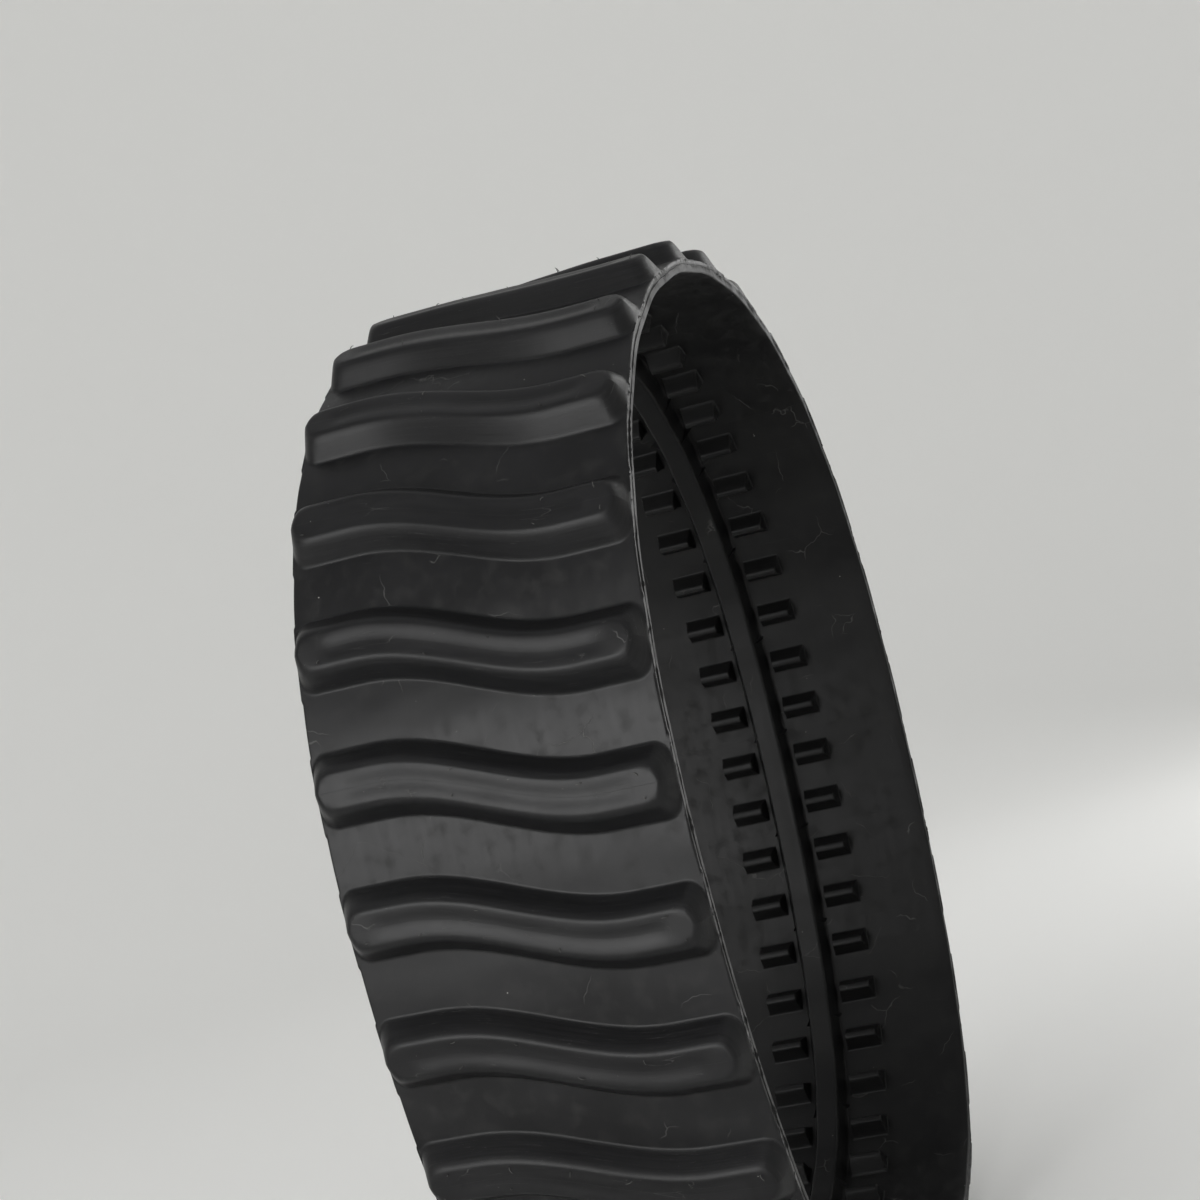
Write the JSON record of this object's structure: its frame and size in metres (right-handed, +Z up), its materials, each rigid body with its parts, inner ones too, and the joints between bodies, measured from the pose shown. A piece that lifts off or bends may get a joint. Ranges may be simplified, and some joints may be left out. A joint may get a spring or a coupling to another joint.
{
  "type": "rubber track",
  "caption": "Endless all-rubber track loop for a compact loader: wave-shaped tread lugs outside, guide rail and raised drive lugs inside, reinforced belt that flexes at each groove.",
  "frame": {"origin": "on the ground under the middle of the loop, at the centre of the belt's width", "axes": "+Z up from the ground to the crown of the loop; Y across the belt; X along the run on the ground"},
  "size_m": [0.7644, 0.24, 0.8281],
  "materials": {
    "tread_rubber": "satin moulded black rubber, lightly dusty in the grooves",
    "wheel_side_rubber": "matt moulded black rubber",
    "steel_cord": "brass-plated steel cord",
    "ply_fabric": "rubberised woven ply"
  },
  "bodies": {
    "link_01": {"tread_link_01": "tread_rubber", "wheel_side_link_01": "wheel_side_rubber", "steel_cord_belt": "steel_cord", "fabric_ply_outer": "ply_fabric", "fabric_ply_inner": "ply_fabric"},
    "link_02": {"tread_link_02": "tread_rubber", "wheel_side_link_02": "wheel_side_rubber"},
    "link_03": {"tread_link_03": "tread_rubber", "wheel_side_link_03": "wheel_side_rubber"},
    "link_04": {"tread_link_04": "tread_rubber", "wheel_side_link_04": "wheel_side_rubber"},
    "link_05": {"tread_link_05": "tread_rubber", "wheel_side_link_05": "wheel_side_rubber"},
    "link_06": {"tread_link_06": "tread_rubber", "wheel_side_link_06": "wheel_side_rubber"},
    "link_07": {"tread_link_07": "tread_rubber", "wheel_side_link_07": "wheel_side_rubber"},
    "link_08": {"tread_link_08": "tread_rubber", "wheel_side_link_08": "wheel_side_rubber"},
    "link_09": {"tread_link_09": "tread_rubber", "wheel_side_link_09": "wheel_side_rubber"},
    "link_10": {"tread_link_10": "tread_rubber", "wheel_side_link_10": "wheel_side_rubber"},
    "link_11": {"tread_link_11": "tread_rubber", "wheel_side_link_11": "wheel_side_rubber"},
    "link_12": {"tread_link_12": "tread_rubber", "wheel_side_link_12": "wheel_side_rubber"},
    "link_13": {"tread_link_13": "tread_rubber", "wheel_side_link_13": "wheel_side_rubber"},
    "link_14": {"tread_link_14": "tread_rubber", "wheel_side_link_14": "wheel_side_rubber"},
    "link_15": {"tread_link_15": "tread_rubber", "wheel_side_link_15": "wheel_side_rubber"},
    "link_16": {"tread_link_16": "tread_rubber", "wheel_side_link_16": "wheel_side_rubber"},
    "link_17": {"tread_link_17": "tread_rubber", "wheel_side_link_17": "wheel_side_rubber"},
    "link_18": {"tread_link_18": "tread_rubber", "wheel_side_link_18": "wheel_side_rubber"},
    "link_19": {"tread_link_19": "tread_rubber", "wheel_side_link_19": "wheel_side_rubber"},
    "link_20": {"tread_link_20": "tread_rubber", "wheel_side_link_20": "wheel_side_rubber"},
    "link_21": {"tread_link_21": "tread_rubber", "wheel_side_link_21": "wheel_side_rubber"},
    "link_22": {"tread_link_22": "tread_rubber", "wheel_side_link_22": "wheel_side_rubber"},
    "link_23": {"tread_link_23": "tread_rubber", "wheel_side_link_23": "wheel_side_rubber"},
    "link_24": {"tread_link_24": "tread_rubber", "wheel_side_link_24": "wheel_side_rubber"},
    "link_25": {"tread_link_25": "tread_rubber", "wheel_side_link_25": "wheel_side_rubber"},
    "link_26": {"tread_link_26": "tread_rubber", "wheel_side_link_26": "wheel_side_rubber"},
    "link_27": {"tread_link_27": "tread_rubber", "wheel_side_link_27": "wheel_side_rubber"},
    "link_28": {"tread_link_28": "tread_rubber", "wheel_side_link_28": "wheel_side_rubber"}
  },
  "joints": [
    {"name": "flex_02", "type": "hinge", "parent": "link_01", "child": "link_02", "pos_m": [0.04381, 0, 0.0215], "axis": [0, -1, 0], "range_deg": [-4, 4], "stiffness_Nm_per_rad": 440, "springref_deg": 0.97, "deforming": ["steel_cord_belt", "fabric_ply_outer", "fabric_ply_inner"]},
    {"name": "flex_03", "type": "hinge", "parent": "link_02", "child": "link_03", "pos_m": [0.13129, 0, 0.0239], "axis": [0, -1, 0], "range_deg": [-3.57, 3.57], "stiffness_Nm_per_rad": 380, "springref_deg": 0.89},
    {"name": "flex_04", "type": "hinge", "parent": "link_03", "child": "link_04", "pos_m": [0.21219, 0, 0.05676], "axis": [0, -1, 0], "range_deg": [-1.06, 1.06], "stiffness_Nm_per_rad": 320, "springref_deg": 0.6},
    {"name": "flex_05", "type": "hinge", "parent": "link_04", "child": "link_05", "pos_m": [0.27522, 0, 0.11729], "axis": [0, -1, 0], "range_deg": [-1.25, 1.25], "stiffness_Nm_per_rad": 250, "springref_deg": 0.37},
    {"name": "flex_06", "type": "hinge", "parent": "link_05", "child": "link_06", "pos_m": [0.31774, 0, 0.19375], "axis": [0, -1, 0], "range_deg": [-2.62, 2.62], "stiffness_Nm_per_rad": 190, "springref_deg": 0.17},
    {"name": "flex_07", "type": "hinge", "parent": "link_06", "child": "link_07", "pos_m": [0.34328, 0, 0.27751], "axis": [0, -1, 0], "range_deg": [-3.03, 3.03], "stiffness_Nm_per_rad": 130, "springref_deg": 0.02},
    {"name": "flex_08", "type": "hinge", "parent": "link_07", "child": "link_08", "pos_m": [0.35664, 0, 0.36408], "axis": [0, -1, 0], "range_deg": [-2.96, 2.96], "stiffness_Nm_per_rad": 82, "springref_deg": -0.14},
    {"name": "flex_09", "type": "hinge", "parent": "link_08", "child": "link_09", "pos_m": [0.36038, 0, 0.4516], "axis": [0, -1, 0], "range_deg": [-2.92, 2.92], "stiffness_Nm_per_rad": 47, "springref_deg": -0.33},
    {"name": "flex_10", "type": "hinge", "parent": "link_09", "child": "link_10", "pos_m": [0.35135, 0, 0.53869], "axis": [0, -1, 0], "range_deg": [-2.94, 2.94], "stiffness_Nm_per_rad": 21, "springref_deg": -0.56},
    {"name": "flex_11", "type": "hinge", "parent": "link_10", "child": "link_11", "pos_m": [0.32402, 0, 0.62183], "axis": [0, -1, 0], "range_deg": [-2.55, 2.55], "stiffness_Nm_per_rad": 5.2, "springref_deg": -0.79},
    {"name": "flex_28", "type": "hinge", "parent": "link_01", "child": "link_28", "pos_m": [-0.04381, 0, 0.0215], "axis": [0, 1, 0], "range_deg": [-5.21, 5.21], "stiffness_Nm_per_rad": 980, "springref_deg": 0.37},
    {"name": "flex_27", "type": "hinge", "parent": "link_28", "child": "link_27", "pos_m": [-0.13129, 0, 0.0239], "axis": [0, 1, 0], "range_deg": [-3.57, 3.57], "stiffness_Nm_per_rad": 950, "springref_deg": 0.15},
    {"name": "flex_26", "type": "hinge", "parent": "link_27", "child": "link_26", "pos_m": [-0.21219, 0, 0.05676], "axis": [0, 1, 0], "range_deg": [-1.06, 1.06], "stiffness_Nm_per_rad": 890, "springref_deg": -0.14},
    {"name": "flex_25", "type": "hinge", "parent": "link_26", "child": "link_25", "pos_m": [-0.27522, 0, 0.11729], "axis": [0, 1, 0], "range_deg": [-1.25, 1.25], "stiffness_Nm_per_rad": 800, "springref_deg": -0.39},
    {"name": "flex_24", "type": "hinge", "parent": "link_25", "child": "link_24", "pos_m": [-0.31774, 0, 0.19375], "axis": [0, 1, 0], "range_deg": [-2.62, 2.62], "stiffness_Nm_per_rad": 710, "springref_deg": -0.61},
    {"name": "flex_23", "type": "hinge", "parent": "link_24", "child": "link_23", "pos_m": [-0.34328, 0, 0.27751], "axis": [0, 1, 0], "range_deg": [-3.03, 3.03], "stiffness_Nm_per_rad": 610, "springref_deg": -0.83},
    {"name": "flex_22", "type": "hinge", "parent": "link_23", "child": "link_22", "pos_m": [-0.35664, 0, 0.36408], "axis": [0, 1, 0], "range_deg": [-2.96, 2.96], "stiffness_Nm_per_rad": 520, "springref_deg": -1.04},
    {"name": "flex_21", "type": "hinge", "parent": "link_22", "child": "link_21", "pos_m": [-0.36038, 0, 0.4516], "axis": [0, 1, 0], "range_deg": [-2.92, 2.92], "stiffness_Nm_per_rad": 440, "springref_deg": -1.24},
    {"name": "flex_20", "type": "hinge", "parent": "link_21", "child": "link_20", "pos_m": [-0.35135, 0, 0.53869], "axis": [0, 1, 0], "range_deg": [-2.94, 2.94], "stiffness_Nm_per_rad": 430, "springref_deg": -1.23},
    {"name": "flex_19", "type": "hinge", "parent": "link_20", "child": "link_19", "pos_m": [-0.32402, 0, 0.62183], "axis": [0, 1, 0], "range_deg": [-2.55, 2.55], "stiffness_Nm_per_rad": 390, "springref_deg": -1.24},
    {"name": "flex_18", "type": "hinge", "parent": "link_19", "child": "link_18", "pos_m": [-0.27577, 0, 0.69478], "axis": [0, 1, 0], "range_deg": [-1.25, 1.25], "stiffness_Nm_per_rad": 330, "springref_deg": -1.23},
    {"name": "flex_17", "type": "hinge", "parent": "link_18", "child": "link_17", "pos_m": [-0.20896, 0, 0.75124], "axis": [0, 1, 0], "range_deg": [-1.01, 1.01], "stiffness_Nm_per_rad": 260, "springref_deg": -1.21},
    {"name": "flex_16", "type": "hinge", "parent": "link_17", "child": "link_16", "pos_m": [-0.12956, 0, 0.788], "axis": [0, 1, 0], "range_deg": [-3.5, 3.5], "stiffness_Nm_per_rad": 180, "springref_deg": -1.25},
    {"name": "flex_15", "type": "hinge", "parent": "link_16", "child": "link_15", "pos_m": [-0.04377, 0, 0.80539], "axis": [0, 1, 0], "range_deg": [-5.15, 5.15], "stiffness_Nm_per_rad": 120, "springref_deg": -1.19},
    {"name": "flex_14", "type": "hinge", "parent": "link_15", "child": "link_14", "pos_m": [0.04377, 0, 0.80539], "axis": [0, 1, 0], "range_deg": [-5.15, 5.15], "stiffness_Nm_per_rad": 63, "springref_deg": -1.25},
    {"name": "flex_13", "type": "hinge", "parent": "link_14", "child": "link_13", "pos_m": [0.12956, 0, 0.788], "axis": [0, 1, 0], "range_deg": [-3.5, 3.5], "stiffness_Nm_per_rad": 27, "springref_deg": -1.23},
    {"name": "flex_12", "type": "hinge", "parent": "link_13", "child": "link_12", "pos_m": [0.20896, 0, 0.75124], "axis": [0, 1, 0], "range_deg": [-1.01, 1.01], "stiffness_Nm_per_rad": 6.3, "springref_deg": -1.23}
  ],
  "couplings": [
    {"joint": "flex_03", "follows": "flex_02", "ratio": 0.68433},
    {"joint": "flex_04", "follows": "flex_02", "ratio": 0.20273},
    {"joint": "flex_05", "follows": "flex_02", "ratio": -0.23915},
    {"joint": "flex_06", "follows": "flex_02", "ratio": -0.5021},
    {"joint": "flex_07", "follows": "flex_02", "ratio": -0.5799},
    {"joint": "flex_08", "follows": "flex_02", "ratio": -0.56732},
    {"joint": "flex_09", "follows": "flex_02", "ratio": -0.55947},
    {"joint": "flex_10", "follows": "flex_02", "ratio": -0.56285},
    {"joint": "flex_11", "follows": "flex_02", "ratio": -0.48933},
    {"joint": "flex_28", "follows": "flex_02", "ratio": 1},
    {"joint": "flex_27", "follows": "flex_02", "ratio": 0.68433},
    {"joint": "flex_26", "follows": "flex_02", "ratio": 0.20273},
    {"joint": "flex_25", "follows": "flex_02", "ratio": -0.23915},
    {"joint": "flex_24", "follows": "flex_02", "ratio": -0.5021},
    {"joint": "flex_23", "follows": "flex_02", "ratio": -0.5799},
    {"joint": "flex_22", "follows": "flex_02", "ratio": -0.56732},
    {"joint": "flex_21", "follows": "flex_02", "ratio": -0.55947},
    {"joint": "flex_20", "follows": "flex_02", "ratio": -0.56285},
    {"joint": "flex_19", "follows": "flex_02", "ratio": -0.48933},
    {"joint": "flex_18", "follows": "flex_02", "ratio": -0.23911},
    {"joint": "flex_17", "follows": "flex_02", "ratio": 0.19231},
    {"joint": "flex_16", "follows": "flex_02", "ratio": 0.67126},
    {"joint": "flex_15", "follows": "flex_02", "ratio": 0.98859},
    {"joint": "flex_14", "follows": "flex_02", "ratio": 0.98859},
    {"joint": "flex_13", "follows": "flex_02", "ratio": 0.67126},
    {"joint": "flex_12", "follows": "flex_02", "ratio": 0.19231}
  ]
}
